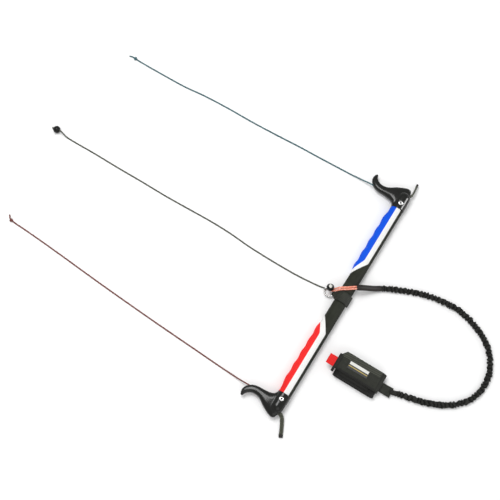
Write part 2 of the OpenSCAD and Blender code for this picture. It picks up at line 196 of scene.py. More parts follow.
def plastic(name, base, rough, shine, coat):
    """Moulded black plastic with faint handling marks."""
    p = Paint(name, Specular_IOR_Level=shine, Coat_Weight=coat, Coat_Roughness=0.08)
    scuff = p.noise(7, 5, stretch=(1, 0.3, 1))
    marks = p.step(p.noise(2.2, 6, stretch=(0.15, 1, 1)), 0.62, 0.75)
    rim = p.math("ADD", p.math("MULTIPLY", scuff, 0.12), p.math("MULTIPLY", marks, 0.08))
    colour = p.mix(scuff, rgb(*base), rgb(*[c * 1.8 + 0.002 for c in base]))
    return p.finish(colour, p.math("ADD", rim, rough), p.noise(1.2, 3), 0.02)


def steel(name, rough, stretch=(1, 1, 1), tone=False, shine=0.85):
    """Bright metal with fine lines. Where the tone is 0 its colour is painted dark, as shade in a recess."""
    p = Paint(name, Metallic=1.0)
    lines = p.noise(0.6, 4, stretch=stretch)
    stain = p.noise(6, 3)
    colour = p.mix(stain, rgb(shine * 0.74, shine * 0.74, shine * 0.73), rgb(shine, shine, shine * 0.99))
    # Painted shade: a near-black colour where the tone is low.
    if tone:
        colour = p.mix(p.tone(), rgb(0.05, 0.05, 0.05), colour)
    return p.finish(colour, p.math("MULTIPLY_ADD", lines, 0.16, rough), lines, 0.012)


def braid(name, dark, light, fleck, pitch=1.6, around=4, round_mm=9.4):
    """A braided cover: strands cross over each other along and round the cord, with some flecked."""
    p = Paint(name, Roughness=0.75, Specular_IOR_Level=0.25, Sheen_Weight=0.05, Sheen_Roughness=0.4)
    u, v = p.along()
    turn = p.math("MULTIPLY", v, around / round_mm)
    travel = p.math("DIVIDE", u, pitch)
    one = p.wave(p.math("ADD", turn, travel), 1.0)
    two = p.wave(p.math("SUBTRACT", turn, travel), 1.0)
    over = p.step(p.math("SINE", p.math("MULTIPLY", travel, TURN / 2)), -0.3, 0.3)
    under = p.math("SUBTRACT", 1.0, over)
    height = p.math("MAXIMUM", p.math("MULTIPLY", one, over), p.math("MULTIPLY", two, under))
    fuzz = p.noise(0.35, 3)
    # Painted shade: the colour is darker in the grooves between the strands and lighter on their crests, following
    # the bump.
    body = p.mix(height, rgb(*dark), rgb(*light))
    spots = p.step(p.noise(3.2, 1), 0.56, 0.64)
    final = p.mix(p.math("MULTIPLY", spots, 0.55), body, rgb(*fleck))
    return p.finish(final, None, p.math("MULTIPLY_ADD", fuzz, 0.35, height), 0.22)


def webbing(name, dark, light, rib=1.3, row=1.7):
    """Ribbed webbing: ribs run along it, and the weft steps from rib to rib."""
    p = Paint(name, Roughness=0.7, Specular_IOR_Level=0.25, Sheen_Weight=0.04, Sheen_Roughness=0.45)
    u, v = p.along()
    cell = p.math("DIVIDE", v, rib)
    ribs = p.wave(cell, 1.0)
    odd = p.math("MULTIPLY", p.math("FLOOR", cell), 0.5)
    weft = p.wave(p.math("ADD", p.math("DIVIDE", u, row), odd), 1.0)
    height = p.math("MULTIPLY", ribs, p.math("MULTIPLY_ADD", weft, 0.55, 0.45))
    fuzz = p.noise(0.4, 3)
    worn = p.noise(9, 4)
    # Painted shade: darker in the grooves between ribs and weft threads and lighter on their crests, varied by random
    # wear.
    body = p.mix(p.math("MULTIPLY", height, worn), rgb(*dark), rgb(*light))
    return p.finish(body, None, p.math("MULTIPLY_ADD", fuzz, 0.4, height), 0.28)


def cloth(name, dark, light, thread, rough=0.78, deep=0.12, tone=False):
    """Plain woven cloth, by its place on the piece, with soft blotches of wear, painted shade in the weave's hollows,
    and painted shade where the tone is low.
    """
    p = Paint(name, Roughness=rough, Specular_IOR_Level=0.25, Sheen_Weight=0.04, Sheen_Roughness=0.4)
    x, y, z = p.xyz()
    lay = p.math("ADD", y, p.math("MULTIPLY", z, 0.7))
    a, b = p.math("DIVIDE", x, thread), p.math("DIVIDE", lay, thread)
    height = p.math("MULTIPLY", p.wave(p.math("ADD", a, b), 1.0), p.wave(p.math("SUBTRACT", a, b), 1.0))
    worn = p.noise(11, 4)
    body = p.mix(p.math("MULTIPLY_ADD", height, 0.4, p.math("MULTIPLY", worn, 0.6)), rgb(*dark), rgb(*light))
    # Painted shade: where the tone attribute is low the cloth's colour is painted darker.
    if tone:
        body = p.mix(p.tone(), rgb(*[c * 0.35 for c in dark]), body)
    return p.finish(body, None, p.math("MULTIPLY_ADD", p.noise(0.5, 3), 0.5, height), deep)


def twill(name, dark, light):
    """A ribbed panel whose ribs lie at a slant, with thread along each rib."""
    p = Paint(name, Roughness=0.7, Specular_IOR_Level=0.25, Sheen_Weight=0.05, Sheen_Roughness=0.4)
    x, y, _ = p.xyz()
    ribs = p.wave(p.math("MULTIPLY_ADD", y, 0.8, p.math("MULTIPLY", x, 0.6)), 3.4)
    thread = p.wave(p.math("SUBTRACT", p.math("MULTIPLY", y, 0.6), p.math("MULTIPLY", x, 0.8)), 0.9)
    height = p.math("MULTIPLY", ribs, p.math("MULTIPLY_ADD", thread, 0.3, 0.7))
    worn = p.math("MULTIPLY_ADD", p.noise(9, 3), 0.6, 0.5)
    # Painted shade: darker in the grooves between the ribs and threads, varied by random wear.
    body = p.mix(p.math("MULTIPLY", height, worn), rgb(*dark), rgb(*light))
    return p.finish(body, None, height, 0.4)


def label(name):
    """A woven label: dark satin with one pale bar and a thin gold stripe."""
    p = Paint(name, Roughness=0.5, Specular_IOR_Level=0.3, Sheen_Weight=0.05)
    x, y, _ = p.xyz()

    def band(value, middle, half):
        off = p.math("ABSOLUTE", p.math("SUBTRACT", value, middle))
        return p.step(off, half + 0.15, half - 0.15)

    # Painted shade: the satin, the pale bar and the gold stripe are all darker between the woven lines.
    lines = p.wave(y, 0.5)
    base = p.mix(lines, rgb(0.022, 0.022, 0.023), rgb(0.05, 0.05, 0.05))
    white = p.math("MULTIPLY", band(x, -107.5, 3.1), band(y, -103, 21.5))
    gold = p.math("MULTIPLY", band(x, -114.2, 0.8), band(y, -103, 21.5))
    rows = p.math("MULTIPLY_ADD", lines, 0.25, 0.75)
    colour = p.mix(p.math("MULTIPLY", white, rows), base, rgb(0.72, 0.72, 0.68))
    colour = p.mix(p.math("MULTIPLY", gold, rows), colour, rgb(0.5, 0.38, 0.1))
    return p.finish(colour, None, lines, 0.06)


LEFT_FOAM = foam("foam_print_red", -1, (0.86, 0.022, 0.022))
RIGHT_FOAM = foam("foam_print_blue", 1, (0.002, 0.085, 0.72))
CAP = plastic("cap_gloss_black", (0.0015, 0.0018, 0.001), 0.17, 0.27, 0.13)
BALL = plastic("ball_black", (0.001, 0.0012, 0.0008), 0.3, 0.2, 0.05)
RUBBER = plastic("rubber_black", (0.011, 0.0085, 0.0078), 0.5, 0.25, 0)
STEEL = steel("stainless_polished", 0.14, shine=0.42)
BOLT = steel("stainless_bolt", 0.2, tone=True)
ALUMINIUM = steel("drawn_aluminium", 0.3, (0.05, 1, 1))
RED_LINE = braid("braid_red", (0.05, 0.012, 0.01), (0.2, 0.06, 0.05), (0.32, 0.15, 0.13))
BLUE_LINE = braid("braid_blue", (0.01, 0.035, 0.045), (0.05, 0.13, 0.15), (0.13, 0.27, 0.3))
GREY_LINE = braid("braid_grey", (0.02, 0.021, 0.015), (0.08, 0.085, 0.065), (0.16, 0.16, 0.13))
PALE_CORD = braid("braid_pale", (0.4, 0.4, 0.36), (0.85, 0.85, 0.8), (0.95, 0.95, 0.9))
SALMON = braid("braid_salmon", (0.5, 0.09, 0.04), (0.97, 0.38, 0.27), (1.0, 0.62, 0.52), 1.9, 5, 11.3)
ELASTIC = braid("elastic_olive", (0.012, 0.013, 0.009), (0.09, 0.096, 0.07), (0.14, 0.145, 0.11), 1.5, 5, 13.0)
WEBBING = webbing("webbing_ribbed", (0.006, 0.007, 0.005), (0.06, 0.065, 0.048))
BINDING = webbing("binding_black", (0.002, 0.002, 0.002), (0.024, 0.025, 0.02), 1.0, 2.2)
RED_TAB = webbing("webbing_red", (0.6, 0.006, 0.006), (1.0, 0.03, 0.028), 1.2, 1.5)
GATHERED = cloth("gathered_cloth", (0.001, 0.001, 0.0008), (0.024, 0.025, 0.02), 0.7, tone=True)
CUFF = cloth("cuff_cloth", (0.006, 0.007, 0.005), (0.034, 0.036, 0.027), 0.9, tone=True)
# Painted shade: the band's cloth is a darker copy of the cuff cloth, for the band lying in the flap's shadow.
SHADED_BAND = cloth("cuff_band_cloth_shaded", (0.002, 0.002, 0.002), (0.014, 0.014, 0.012), 0.9, tone=True)
TWILL = twill("cuff_twill", (0.005, 0.006, 0.004), (0.075, 0.08, 0.06))
PILE = cloth("hook_and_loop", (0.008, 0.008, 0.007), (0.03, 0.03, 0.028), 0.6, 0.95, 0.3)
LABEL = label("woven_label")
THREAD = webbing("stitching_dark", (0.01, 0.01, 0.01), (0.06, 0.06, 0.055), 0.5, 0.9)

# Shapes --------------------------------------------------------------------------------


def unit(v):
    """The same direction or rows of directions, each one long."""
    v = np.asarray(v, float)
    return v / np.linalg.norm(v, axis=-1, keepdims=True)


def ease(t):
    """From 0 to 1, with soft ends."""
    t = np.clip(t, 0, 1)
    return t * t * (3 - 2 * t)


def bearings(count):
    """Angles spaced evenly round a circle."""
    return np.arange(count) * TURN / count


def smooth(route, step):
    """Evenly spaced points on a smooth line through the route."""
    p = np.array(route, float)
    h = np.linalg.norm(np.diff(p, axis=0), axis=1)
    d = np.diff(p, axis=0) / h[:, None]
    m = np.vstack([d[0], (d[:-1] * h[1:, None] + d[1:] * h[:-1, None]) / (h[:-1] + h[1:])[:, None], d[-1]])
    out = []
    for i in range(len(h)):
        for t in np.linspace(0, 1, 40, endpoint=False):
            out.append(
                (2 * t**3 - 3 * t**2 + 1) * p[i]
                + (t**3 - 2 * t**2 + t) * h[i] * m[i]
                + (3 * t**2 - 2 * t**3) * p[i + 1]
                + (t**3 - t**2) * h[i] * m[i + 1]
            )
    out = np.array(out + [p[-1]])
    s = np.r_[0, np.cumsum(np.linalg.norm(np.diff(out, axis=0), axis=1))]
    at = np.linspace(0, s[-1], max(3, int(round(s[-1] / step)) + 1))
    return np.column_stack([np.interp(at, s, out[:, k]) for k in range(p.shape[1])])


def lengths(path, loop=False):
    ends = np.vstack([path, path[:1]]) if loop else path
    return np.r_[0, np.cumsum(np.linalg.norm(np.diff(ends, axis=0), axis=1))]


def sides(path, across=None, loop=False):
    """Two directions square to the path at each point. across fixes the first one; else it is carried along."""
    t = unit(np.roll(path, -1, 0) - np.roll(path, 1, 0) if loop else np.gradient(path, axis=0))
    a = np.zeros_like(t)
    now = np.array(across, float) if across is not None else np.cross(t[0], (0, 0, 1.0))
    if np.linalg.norm(now) < 0.01:
        now = np.array((1.0, 0, 0))
    for i in range(len(t)):
        if across is not None:
            now = np.array(across, float)
        now = unit(now - np.dot(now, t[i]) * t[i])
        a[i] = now
    return a, np.cross(t, a)


def sweep(path, section, across=None, loop=False):
    """Rings of points: each section point (a, b) goes a along the first side and b along the second."""
    a, b = sides(path, across, loop)
    section = np.asarray(section, float)
    if section.ndim == 2:
        section = np.repeat(section[None], len(path), axis=0)
    return path[:, None] + section[..., :1] * a[:, None] + section[..., 1:] * b[:, None]


def skin(name, rings, paint, body, loop=False, tone=None):
    """A mesh over rings of points, with millimetres along and round it as its UV map."""
    rings = np.asarray(rings, float)
    n, m = rings.shape[:2]
    along = lengths(rings.mean(axis=1), loop)
    around = lengths(rings[n // 2], True)
    faces, uvs = [], []
    for i in range(n if loop else n - 1):
        j = (i + 1) % n
        for k in range(m):
            q = (k + 1) % m
            faces.append((i * m + k, i * m + q, j * m + q, j * m + k))
            uvs += [(along[i], around[k]), (along[i], around[k + 1])]
            uvs += [(along[i + 1], around[k + 1]), (along[i + 1], around[k])]
    if not loop:
        for ring, order in ((0, range(m - 1, -1, -1)), (n - 1, range(m))):
            faces.append(tuple(ring * m + k for k in order))
            flat = rings[ring] - rings[ring].mean(axis=0)
            u = flat[0] / max(np.linalg.norm(flat[0]), 1e-9)
            w = flat[m // 4] - np.dot(flat[m // 4], u) * u
            w = w / max(np.linalg.norm(w), 1e-9)
            uvs += [(float(np.dot(flat[k], u)), float(np.dot(flat[k], w))) for k in order]
    return mesh(name, rings.reshape(-1, 3), faces, paint, body, uvs, tone)


def mesh(name, points, faces, paint, body, uvs=None, tone=None):
    data = bpy.data.meshes.new(name)
    data.from_pydata([tuple(p) for p in place(points)], [], faces)
    if uvs is not None:
        layer = data.uv_layers.new(name="UVMap")
        layer.data.foreach_set("uv", np.asarray(uvs, float).ravel())
    if tone is not None:
        values = data.attributes.new("tone", "FLOAT", "POINT").data
        values.foreach_set("value", np.asarray(tone, float).ravel())
    data.shade_smooth()
    made = add(name, data)
    data.materials.append(paint)
    clean = bmesh.new()
    clean.from_mesh(data)
    bmesh.ops.recalc_face_normals(clean, faces=clean.faces)
    clean.to_mesh(data)
    clean.free()
    if body:
        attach(made, body)
    return made


def circle(count):
    return np.column_stack([np.cos(bearings(count)), np.sin(bearings(count))])


def tube(name, path, r, paint, body, count=12):
    """A round cord along a path. r is one radius, one for each point, or one for each point and direction."""
    r = np.asarray(r, float)
    r = r.reshape(r.shape + (1,) * (3 - r.ndim))
    return skin(name, sweep(path, circle(count) * r), paint, body)


def box_section(width, thick, corner=0.4, count=4, crown=0.0, across=9):
    """A flat strip's section: width along the first side, rounded edges, and crown higher in the middle."""
    w, t = width / 2, thick / 2
    corner = min(corner, t * 0.98, w * 0.98)
    points = []
    for right, up, start in ((1, 1, 0), (-1, 1, 90), (-1, -1, 180), (1, -1, 270)):
        for k in range(count + 1):
            a = math.radians(start + 90 * k / count)
            x, y = right * (w - corner), up * (t - corner)
            points.append((x + corner * math.cos(a), y + corner * math.sin(a)))
        if start in (0, 180):
            for x in np.linspace(w - corner, -w + corner, across + 2)[1:-1]:
                points.append((up * x, up * (t + crown * (1 - (x / w) ** 2))))
    return np.array(points)


def strip(name, path, width, thick, paint, body, across, loop=False, corner=0.4, crown=0.0):
    """Webbing along a path. width and thick may change along it."""
    path = np.asarray(path, float)
    width, thick = (np.broadcast_to(np.asarray(v, float), len(path)) for v in (width, thick))
    section = np.array([box_section(w, t, corner, crown=crown) for w, t in zip(width, thick)])
    return skin(name, sweep(path, section, across, loop), paint, body, loop=loop)


def stitches(name, path, length, gap, r, paint, body):
    """A row of thread stitches that dip into the cloth along a path."""
    s = lengths(path)
    fat = r * np.array([0.35, 0.9, 1.0, 0.9, 0.35])
    rings, faces, count, last = [], [], 6, len(fat) - 1
    at = gap
    while at + length < s[-1]:
        ends = np.linspace(at, at + length, len(fat))
        line = np.column_stack([np.interp(ends, s, path[:, k]) for k in range(3)])
        base = len(rings) * len(fat) * count
        for i in range(last):
            low, high = base + i * count, base + (i + 1) * count
            for k in range(count):
                q = (k + 1) % count
                faces.append((low + k, low + q, high + q, high + k))
        faces.append(tuple(base + k for k in range(count - 1, -1, -1)))
        faces.append(tuple(base + last * count + k for k in range(count)))
        rings.append(sweep(line, circle(count) * fat[:, None, None]).reshape(-1, 3))
        at += length + gap
    return mesh(name, np.vstack(rings), faces, paint, body)


def spun(rows, centre, axis, first, count):
    """Rings of points round an axis, one for each (radius, height). first is where each ring starts."""
    axis, first = np.array(axis, float), np.array(first, float)
    a = bearings(count)[:, None]
    ring = first * np.cos(a) + np.cross(axis, first) * np.sin(a)
    return np.array([centre + axis * h + r * ring for r, h in rows])


def lathe(name, profile, centre, axis, paint, body):
    """A turned piece, closed into a ring of material."""
    axis = unit(axis)
    first = unit(np.cross(axis, (1.0, 0, 0) if abs(axis[0]) < 0.9 else (0, 1.0, 0)))
    return skin(name, spun(profile, centre, axis, first, 48), paint, body, loop=True)


# Cords ---------------------------------------------------------------------------------
# The routes are those of the CAD source. The leash, its loops and its sleeve start up to 2 mm off theirs,
# where the photo shows them.

LEFT_LINE = [
    (-255, 58, 14.2), (-255, 74, 14.2), (-255, 84, 12.4), (-254.7, 94, 8.8), (-254.3, 106, 5),
    (-253.6, 120, 2.5), (-252.4, 150, 1.6), (-250, 200, 1.6), (-247.5, 255, 1.6),
    (-244.6, 315, 1.6), (-241, 378, 1.6), (-237.2, 440, 1.6), (-233, 500, 1.6),
    (-228.8, 556, 1.6), (-225, 612, 1.6), (-222.4, 660, 1.6), (-220.8, 692, 1.7),
]
RIGHT_LINE = [
    (255, 58, 14.2), (255, 74, 14.2), (255.2, 84, 12.4), (255.6, 94, 8.8), (256, 106, 5),
    (255.8, 120, 2.5), (254.8, 155, 1.6), (253.2, 205, 1.6), (252, 258, 1.6),
    (249.4, 312, 1.6), (247.6, 372, 1.6), (247.4, 440, 1.6), (245.4, 496, 1.6),
    (240.6, 552, 1.6), (239.8, 605, 1.6), (239.6, 650, 1.6), (240, 676, 1.7),
]
CENTRE_LINE = [
    (8, 34, 14.4), (7.8, 34, 11), (7.4, 34.3, 7.2), (6.6, 37, 3), (5.4, 42.5, 1.6),
    (3, 56, 1.6), (0.6, 78, 1.6), (-1.6, 108, 1.6), (-2.4, 145, 1.6), (-2.2, 185, 1.6),
    (-0.8, 232, 1.6), (2.6, 276, 1.6), (3.8, 318, 1.6), (2.6, 376, 1.6), (0.9, 440, 1.6),
    (1.3, 505, 1.6), (0.9, 570, 1.6), (1.4, 635, 1.6), (0.8, 690, 1.6), (1, 702, 2.6),
    (1.7, 709, 6.4), (2.6, 714.4, 11.2), (3.2, 719, 13.1), (3.3, 723, 11.8),
]
LOOP = [
    (8.3, 27.6, 13.6), (10, 24, 16), (12, 20, 20), (15, 15.6, 25.8), (18.6, 9.4, 29.2),
    (22.6, 2.4, 30.5), (28.2, -5.5, 30.6), (33.5, -12.9, 30.4),
]
LOOP_SIDE = (1.7, 1.4, 0)
SLEEVE = [
    (33.9, -13.7, 30.4), (38.9, -20.6, 27.6), (45.8, -30.1, 21.5), (53.3, -40.5, 14),
    (59.4, -49.1, 9), (64.7, -56, 7),
]
LEASH = [
    (65.5, -57, 6.8), (70.2, -64.7, 6.1), (75, -74.6, 5.7), (81, -88, 5.6), (88.4, -104.5, 5.6),
    (96, -122, 5.6), (102, -142, 5.6), (107, -165, 5.6), (110, -188, 5.6), (111, -210, 5.6),
    (108, -235, 5.6), (100, -262, 5.6), (88, -288, 5.6), (72, -309, 5.6), (52, -325, 5.6),
    (29, -336, 5.6), (4, -340, 5.6), (-20, -337, 5.6), (-43, -328, 5.6), (-62, -312, 5.6),
    (-77, -293, 5.6), (-88, -271, 5.6), (-97, -247, 5.6), (-103, -224, 5.6),
    (-108, -203, 5.6), (-112.6, -186, 6),
]
LEFT_KEEPER = [
    (-272, -5, 13.6), (-272, -13, 12), (-275, -18.5, 9.4), (-282, -23.5, 6.6), (-292, -29, 4.6),
    (-306, -35.6, 3.4),
]
RIGHT_KEEPER = [
    (272, -5, 14.2), (273, -9.6, 14), (277, -12, 13.6), (284, -12.6, 12.4), (293, -12, 10.2),
    (303, -11, 7.4),
]
LINE_R = 1.5
STRAND_R = 1.8
KEEPER_R = 2.1


def fuzzed(path, r, count, amount):
    """Radii that wander a little, as a braid's do."""
    out = np.empty((len(path), count))
    for i, (x, y, _) in enumerate(path / 3.0):
        for k, a in enumerate(bearings(count)):
            out[i, k] = r * (1 + amount * noise.noise(Vector((x, y, math.cos(a) + 3 * math.sin(a)))))
    return out


def line_piece(name, route, paint):
    """A line that never sinks into the floor, and its path."""
    path = smooth(route, 1.6)
    path[:, 2] = np.maximum(path[:, 2], LINE_R * 1.07)
    return tube(name, path, fuzzed(path, LINE_R, 10, 0.06), paint, None, 10), path


def overhand(size):
    """An overhand knot's own line, about the origin, with its ends along -X and +X."""
    t = np.linspace(0.35, TURN - 0.35, 80)
    x = np.sin(t) + 2 * np.sin(2 * t)
    y = np.cos(t) - 2 * np.cos(2 * t)
    return size * np.column_stack([y, x, -1.1 * np.sin(3 * t)]) / 3


def knot(name, at, r, size, heading, tail, paint, body):
    """A pulled-tight overhand knot at a point, turned to the line's heading, with its cut tail."""
    along = unit(heading)
    side = np.cross((0, 0, 1.0), along)
    side = unit(side) if np.linalg.norm(side) > 0.2 else np.array((1.0, 0, 0))
    core = at + overhand(size) @ np.array([along, side, np.cross(along, side)])
    end = smooth([core[-1], *(np.add(at, q) for q in tail)], 0.8)
    return tube(name, np.vstack([core, end[1:]]), r, paint, body, 10)


# Each leader's route, where it ends, its knot's heading and cut tail, and its colour
LEFT_TAIL = [(1.5, 4.6, -1), (4.2, 7.5, -2.0), (8.4, 11.6, -2.1)]
RIGHT_TAIL = [(0.3, 5, -1), (0.6, 9, -2.0), (-1.2, 16, -2.1)]
for word, route, end, heading, tail, paint in (
    ("left", LEFT_LINE, (-220.4, 695, 3), (0.05, 1, 0), LEFT_TAIL, RED_LINE),
    ("right", RIGHT_LINE, (240.1, 679, 3), (0, 1, 0), RIGHT_TAIL, BLUE_LINE),
):
    above = np.add(end, (0, 0.2, 0.7))
    tied = knot("leader_knot_" + word + "_v", above, LINE_R, 2.7, heading, tail, paint, "bar")
    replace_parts(tied, "leader_knot_" + word)
    line, path = line_piece("leader_" + word + "_v", route + [end], paint)
    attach(line, "bar")
    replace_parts(line, "leader_" + word)


def ball_profile(r, hole):
    """A drilled ball: down the outside, round a soft rim, and back up the hole."""
    rim = 0.9
    top = math.sqrt((r - 0.1) ** 2 - (hole + rim) ** 2)
    start = math.atan2(top, hole + rim)
    outside = [(r * math.cos(a), r * math.sin(a)) for a in np.linspace(start, -start, 26)]
    low = [
        (hole + rim * (1 - math.sin(a)), -top - 0.1 + rim * (1 - math.cos(a)) * 0.9)
        for a in np.linspace(0.3, 1.4, 4)
    ]
    inside = [(hole, h) for h in np.linspace(-top + 1.6, top - 1.6, 8)]
    high = [(q, -h) for q, h in reversed(low)]
    return outside + low + inside + high


BALL_SHAPE = ball_profile(8, 2.2)
FAR_BALL = (3.3, 730.5, 8.1)
FAR_AXIS = np.array((0, -0.9, 0.436))
far_ball = lathe("far_ball_v", BALL_SHAPE, FAR_BALL, FAR_AXIS, BALL, "bar")
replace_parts(far_ball, "far_ball")
far_knot = knot(
    "far_knot_v", FAR_BALL - FAR_AXIS * 9.6, 1.4, 2.2, -FAR_AXIS,
    [-FAR_AXIS * 3, -FAR_AXIS * 5 + (1, 0.5, -0.6)], GREY_LINE, "bar",
)
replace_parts(far_knot, "far_knot")
centre_line, path = line_piece("centre_line_v", CENTRE_LINE, GREY_LINE)
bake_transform(centre_line)
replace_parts(centre_line, "centre_line")

# Leash: two strands, a smooth sleeve, then gathered cloth over its elastic core
sleeve_path = smooth(SLEEVE, 1.2)
s = lengths(sleeve_path) / lengths(sleeve_path)[-1]
sleeve_r = 6.1 - 1.0 * np.clip(1 - s / 0.12, 0, 1) ** 2
sleeve = tube("leash_sleeve_v", sleeve_path, sleeve_r, RUBBER, "bar", 28)
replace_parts(sleeve, "leash_sleeve")
for letter, sign in (("a", -1), ("b", 1)):
    route = np.array(LOOP) + sign * np.array(LOOP_SIDE)
    route = np.vstack([route, np.array(SLEEVE[1]) + sign * 0.8 * np.array(LOOP_SIDE)])
    path = smooth(route, 1.0)
    strand = tube("leash_loop_" + letter + "_v", path, fuzzed(path, STRAND_R, 12, 0.05), SALMON, None, 12)
    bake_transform(strand)
    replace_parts(strand, "leash_loop_" + letter)

LEASH_SIDES = 40
LEASH_R = 5.2
PLEAT = 8.4
leash_path = smooth([(63, -53.9, 7.6)] + LEASH + [(-114.2, -180, 6)], 0.55)
s = lengths(leash_path)
fade = np.clip((s - 3) / 5, 0, 1) * np.clip((s[-1] - s - 11) / 9, 0, 1)
radii, tone = np.empty((2, len(s), LEASH_SIDES))
for i, at in enumerate(s):
    for k, a in enumerate(bearings(LEASH_SIDES)):
        c, d = math.cos(a), math.sin(a)
        drift = 2.2 * noise.noise(Vector((c * 0.8, d * 0.8, at / 13)))
        drift += 0.9 * noise.noise(Vector((c * 2, d * 2, at / 6)))
        pleat = abs(math.sin(math.pi * at / PLEAT + drift)) ** 0.8
        wide = noise.noise(Vector((c * 0.8 + 7, d * 0.8, at / 8)))
        radii[i, k] = LEASH_R + fade[i] * (4.2 * (pleat - 0.6) + 1.9 * wide)
        # Painted shade: the tone is lower in the hollows between the gathers, darkening the cloth there.
        tone[i, k] = 1 - fade[i] * (1 - pleat ** 1.6)
leash_rings = sweep(leash_path, circle(LEASH_SIDES) * radii[..., None])
leash_rings[..., 2] = np.maximum(leash_rings[..., 2], 0.15)
leash = skin("leash_v", leash_rings, GATHERED, "bar", tone=tone)
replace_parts(leash, "leash_cord")
tab_path = smooth([(-115.2, -184.6, 6), (-115.4, -176, 6.1), (-115.6, -166, 6.2), (-115.8, -155.5, 6.8)], 1.0)
tab_width = np.linspace(21.7, 20.7, len(tab_path))
tab = strip("leash_tab_v", tab_path, tab_width, 2.8, WEBBING, "bar", (1, 0, 0), corner=1.1, crown=0.5)
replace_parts(tab, "leash_tab")

# Keepers: two elastic strands side by side, ending in a sleeve
SLEEVE_TAPER = (0.86, 0.97, 1, 1, 1, 1, 1, 1, 1, 0.98, 0.92, 0.7)
for word, route, across in (("left", LEFT_KEEPER, (0.62, -0.78, 0)), ("right", RIGHT_KEEPER, (0, 0, 1))):
    body = word + "_keeper"
    path = smooth(route, 1.0)
    off, _ = sides(path, across)
    end = path[-1] + unit(path[-1] - path[-3]) * np.linspace(-0.6, 6.0, len(SLEEVE_TAPER))[:, None]
    section = np.array([box_section(9.0 * g, 4.8 * g, 2.1 * g, 6, across=5) for g in SLEEVE_TAPER])
    cap_end = skin("keeper_sleeve_" + word + "_v", sweep(end, section, across), RUBBER, body)
    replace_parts(cap_end, "keeper_sleeve_" + word)
    for letter, sign in (("a", -1), ("b", 1)):
        strand_path = path + off * 2.05 * sign
        radii = fuzzed(strand_path, KEEPER_R, 14, 0.04)
        strand = tube("keeper_" + word + "_" + letter, strand_path, radii, ELASTIC, body, 14)
        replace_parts(strand, "keeper_" + word)

# Grips ---------------------------------------------------------------------------------


def finger(a):
    """How far a grip stands out in front, a millimetres from the middle of the bar."""
    if 80 <= a <= 200:
        return 2.26 + 0.74 * math.cos(TURN * (a - 80) / 30)
    off = 80 - a if a < 80 else a - 200
    return 1.5 * (1 + math.cos(math.pi * off / 23)) if off < 23 else 0.0


def grip(node, side, groove, paint):
    """A thick foam sleeve on the tube, with finger bumps in front. The strap's groove ends at groove."""
    profile = [(0.05, 12.1), (groove - 0.3, 12.1), (groove, 12.3), (groove + 0.35, 13.2), (groove + 1.2, 13.85)]
    profile += [(x, 14.0) for x in np.arange(groove + 2.4, 231.6, 1.3)]
    profile += [(232.1, 13.95), (232.7, 13.7), (232.95, 13.2), (232.95, 9.6), (120, 9.6), (0.05, 9.6)]
    rings = []
    for a, r in profile:
        rise = finger(a) if r > 13.1 else 0.0
        ring = []
        for t in bearings(88):
            c, q = math.cos(t), math.sin(t)
            front = rise * c + math.sqrt(r * r - (rise * q) ** 2) if rise else r
            far = max(r, front) if r > 9.7 else r
            if r > 13.1:
                far += 0.09 * noise.noise(Vector((a / 9 * side, c * 2, q * 2)))
                far += 0.03 * noise.noise(Vector((a / 1.6, c * 7, q * 7)))
            ring.append((side * a, far * c, AXIS_Z + far * q))
        rings.append(ring)
    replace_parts(skin(node + "_v", rings, paint, "bar", loop=True), node)


grip("grip_left", -1, 9.4, LEFT_FOAM)
grip("grip_right", 1, 14.4, RIGHT_FOAM)

# End caps ------------------------------------------------------------------------------
# Each row is one cut across the horn, as in the CAD source: inner x from the cap's face and its y,
# outer x and its y, and half the thickness.

HORN = [
    (5, -13.5, 31, -13, 4), (1, -12.5, 38, -11.5, 7.5), (0, -10, 44, -9.5, 8.5),
    (0, -6, 51.5, -6, 9.5), (0, 0, 54, 0, 10), (0, 7, 52.5, 7, 10),
    (1, 13, 49.5, 14, 10), (8, 18.5, 46, 21, 10), (11.5, 25, 42, 28, 9.8),
    (13, 34, 36.5, 36, 9.4), (13.7, 43, 33, 43, 9), (14, 51, 31.8, 51, 8.6),
    (15.2, 59, 32.4, 58, 8.2), (18, 66.5, 35, 63.5, 7.6), (22.5, 72.5, 38, 67.5, 6.8),
    (28, 77.2, 41.5, 70, 6), (34.5, 79.6, 44.2, 71.4, 5.2), (41, 79.3, 46.2, 72, 4.4),
    (45.5, 77.6, 47.6, 73.2, 3), (47.8, 75.9, 48, 74.8, 1),
]
CAP_X = 233
BOLT_X = 246


def swell(v):
    """Squares off a sine or cosine, so that the horn's cut is a rounded box."""
    return math.copysign(abs(v) ** 0.78, v)


def horn():
    rings = []
    for inner, inner_y, outer, outer_y, half in smooth(HORN, 1.1):
        ring = []
        for a in bearings(72):
            over = 0.5 + 0.5 * swell(math.cos(a))
            x = CAP_X + inner + (outer - inner) * over
            ring.append((x, inner_y + (outer_y - inner_y) * over, AXIS_Z - half * swell(math.sin(a))))
        rings.append(ring)
    return skin("horn", rings, CAP, None)


def turned(name, rows, centre, axis):
    """A solid of revolution, closed at both ends."""
    first = (0, 0, 1) if axis[2] < 0.5 else (1, 0, 0)
    return skin(name, spun(rows, centre, axis, first, 64), CAP, None)


def prism(name, plan, low, high):
    rings = [[(x, y, z) for x, y in plan] for z in (low, high)]
    return skin(name, rings, CAP, None)


def cut(target, tool, operation):
    step = target.modifiers.new("cut", "BOOLEAN")
    step.operation, step.object, step.solver = operation, tool, "EXACT"
    apply_all(target)
    bpy.data.objects.remove(tool)


def apply_all(target):
    graph = bpy.context.evaluated_depsgraph_get()
    new = bpy.data.meshes.new_from_object(target.evaluated_get(graph))
    old = target.data
    target.modifiers.clear()
    target.data = new
    bpy.data.meshes.remove(old)


